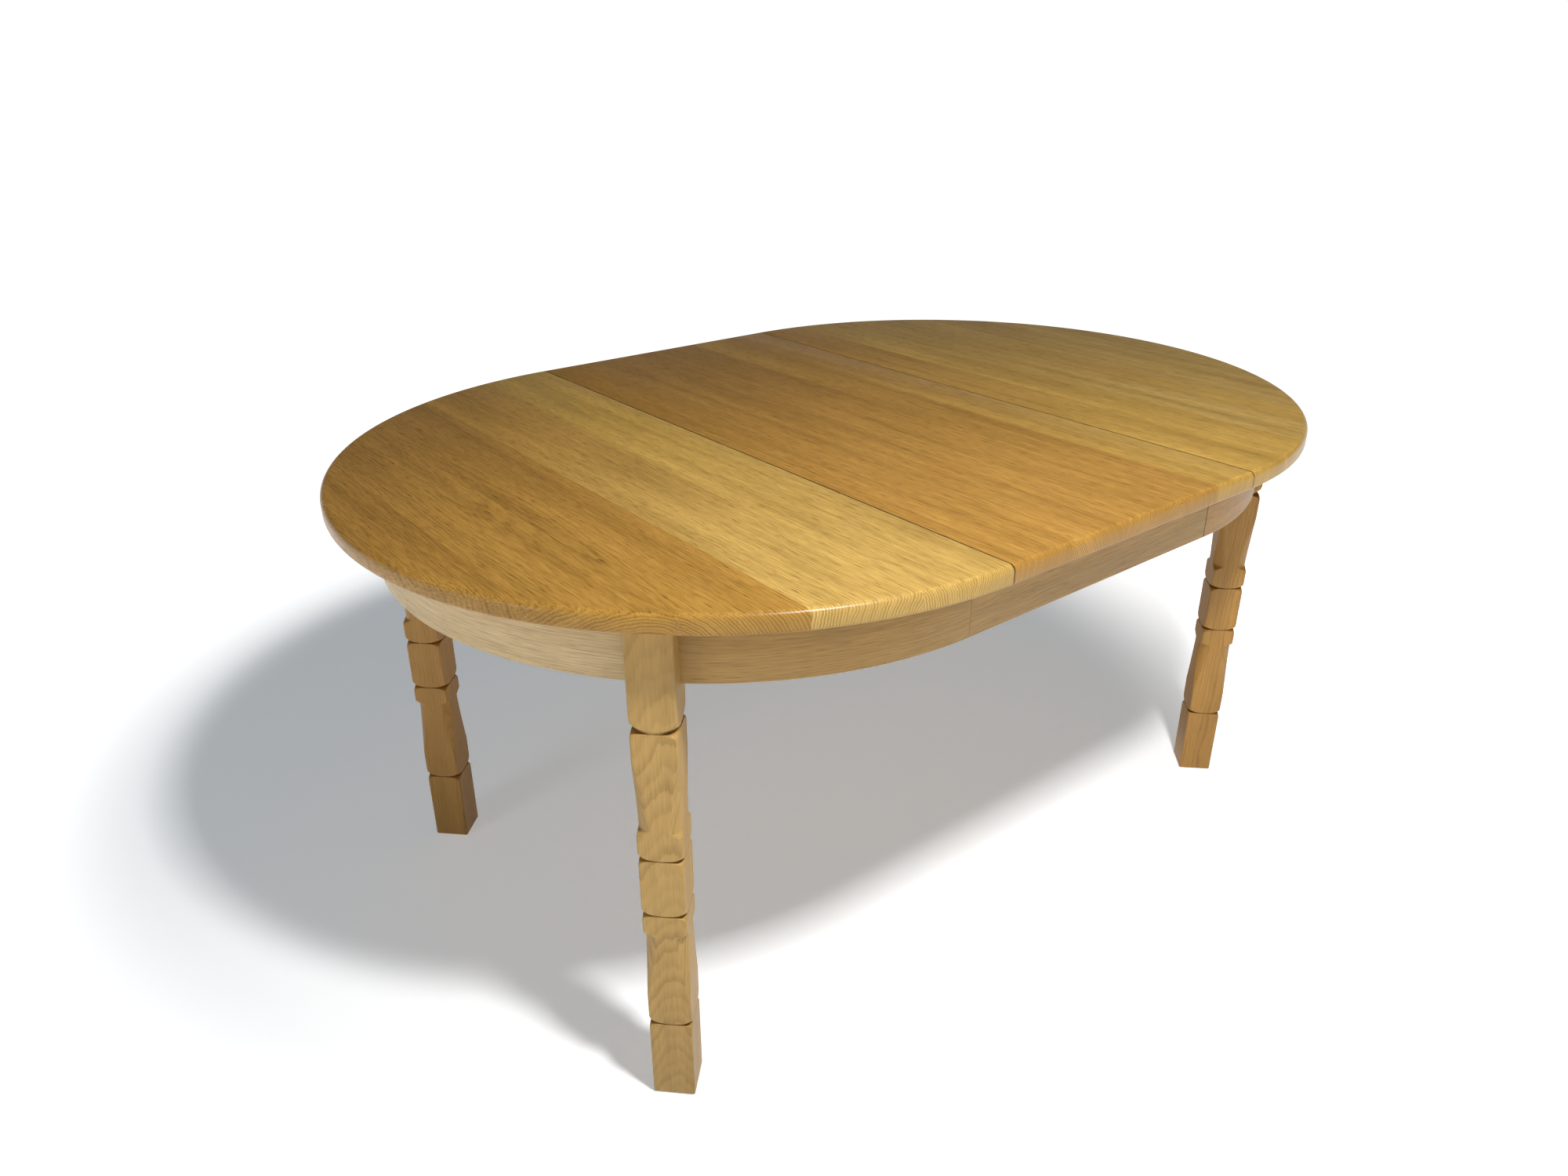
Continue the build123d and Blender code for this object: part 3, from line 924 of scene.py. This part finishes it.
# %% Beech and steel
beech_streaks = (14.0, 120.0, 2.0)
beech_flecks = (300.0, 900.0, 1.0)
fleck_edge = (0.08, 0.18)
fleck_strength = 0.25
beech_range = (-0.25, 0.4)


def beech(name, pale, dark):
    """Plain beech with short flecks, for the frame under the top."""
    finish, shader = bare_finish(name, {"Roughness": 0.62})
    point = read_point(finish, "Object")
    fleck = patches(point, beech_flecks).rise(*fleck_edge) * fleck_strength
    shade = (patches(point, beech_streaks) + fleck).rise(*beech_range)
    shade.mix((*pale, 1), (*dark, 1)).feed(shader, "Base Color")
    return finish


zinc = {"Base Color": (0.56, 0.57, 0.58, 1), "Metallic": 1, "Roughness": 0.34}
steel = bare_finish("zinc_steel", zinc)[0]
frame_beech = beech("frame_beech", (0.50, 0.33, 0.17), (0.36, 0.21, 0.10))
dowel_beech = beech("dowel_beech", (0.56, 0.40, 0.23), (0.43, 0.28, 0.14))
finish_of = {
    "leg_bolts": steel,
    "runner_screws": steel,
    "seam_dowels": dowel_beech,
    "runner_stop_pins": dowel_beech,
    "runner_left": frame_beech,
    "runner_right": frame_beech,
    "cross_rail": frame_beech,
    "corner_block": frame_beech,
    "glue_blocks": frame_beech,
}
finished = 0
for name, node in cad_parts.items():
    for start, finish in finish_of.items():
        if name.startswith(start):
            node.data.materials.clear()
            node.data.materials.append(finish)
            finished += 1
print("pieces underneath:", finished)

# %% [markdown]
# ## Lay the studio floor
# The table stands on a white floor. Further out the floor glows until it is pure white, so that it
# has no edge, and near the table it glows a little too, because bright studio walls would lighten
# the shadow in the same way.

# %% The floor
floor_reach = 30
glow_x, glow_y = -0.1, 0.4
glow_starts, glow_ends = 0.95, 1.45
shadow_glow = (0.29, 0.318, 0.342, 1)


def add_to_stage(name, shape, paint):
    """Put a shape into the studio that isn't part of the table."""
    prop = new_object(name, shape)
    prop.data.materials.append(paint)
    return prop


matt_white = {"Base Color": (0.9, 0.9, 0.9, 1), "Roughness": 0.9, "Emission Strength": 1}
floor_paint, floor_shader = bare_finish("white_floor", matt_white)
floor_x, floor_y = read_point(floor_paint, "Object")[:2]
aside, behind = floor_x - glow_x, floor_y - glow_y
far_out = ((aside * aside + behind * behind) ** 0.5).rise(glow_starts, glow_ends)
far_out.mix(shadow_glow, white).feed(floor_shader, "Emission Color")
floor_shape = bmesh.new()
bmesh.ops.create_grid(floor_shape, x_segments=1, y_segments=1, size=floor_reach)
add_to_stage("studio_floor", floor_shape, floor_paint)
print("floor:", 2 * floor_reach, "m wide")

# %% [markdown]
# ## Build the room
# A low white band runs round the room where it meets the floor. Above it the room is dark, which
# keeps the far side of the top from turning milky. A paper dome hides the dark room from the viewer,
# but it sheds no light on the table and mirrors nowhere.

# %% The room and the dome
band_fades = (0.01, 0.06)
dark_room = (0.06, 0.06, 0.06, 1)
dome_radius = 25

room = bpy.data.worlds.new("white_room")
bpy.context.scene.world = room
room.use_nodes = True
upward = read_point(room, "Generated")[2]
room_colour = upward.rise(*band_fades).mix(white, dark_room)
room_colour.feed(room.node_tree.nodes["Background"], "Color")

glowing = {"Base Color": (0, 0, 0, 1), "Emission Color": white, "Emission Strength": 1}
paper = bare_finish("white_paper", glowing)[0]
dome_shape = bmesh.new()
bmesh.ops.create_uvsphere(dome_shape, u_segments=48, v_segments=24, radius=dome_radius)
dome = add_to_stage("white_dome", dome_shape, paper)
dome.visible_diffuse = False
dome.visible_glossy = False
dome.visible_shadow = False
print("dome radius:", dome_radius, "m")

# %% [markdown]
# ## Hang the lamps
# One small lamp hangs in front of the table, above the viewer and a little to the right, so the
# shadow falls behind the table and has a fairly clear edge. A weaker, wider one stands at the left
# and lights the apron under the edge of the top.


# %% The lamps
def add_lamp(name, place, aim, size, power):
    """A square soft lamp that looks from place to aim."""
    light = bpy.data.lights.new(name, "AREA")
    light.size = size
    light.energy = power
    lamp = bpy.data.objects.new(name, light)
    lamp.location = place
    lamp.rotation_euler = (Vector(aim) - Vector(place)).to_track_quat("-Z", "Y").to_euler()
    bpy.context.collection.objects.link(lamp)


add_lamp("front_lamp", place=(-0.4, -1.27, 2.28), aim=(0, 0.1, 0.4), size=0.2, power=55)
add_lamp("side_lamp", place=(-3.2, -0.2, 1.0), aim=(-0.3, 0, 0.4), size=0.9, power=10)
print("lamps:", len(bpy.data.lights))

# %% [markdown]
# ## Place the camera
# The photographer stood at the table's front left corner, held the camera a little below head height
# and looked down at the top.

# %% Camera
camera_place = (-1.208, -1.336, 1.2857)
heading, tilt, roll = radians(51.3), radians(25.35), radians(0.12)
camera_data = bpy.data.cameras.new("camera")
camera_data.sensor_width = 36
camera_data.lens = 25.9
camera = bpy.data.objects.new("camera", camera_data)
bpy.context.collection.objects.link(camera)
look = Euler((pi / 2 - tilt, 0, heading - pi / 2)).to_matrix() @ Matrix.Rotation(-roll, 3, "Z")
camera.matrix_world = Matrix.Translation(camera_place) @ look.to_4x4()
bpy.context.scene.camera = camera
bpy.context.scene.view_settings.view_transform = "Standard"
print("camera lens:", camera_data.lens, "mm")
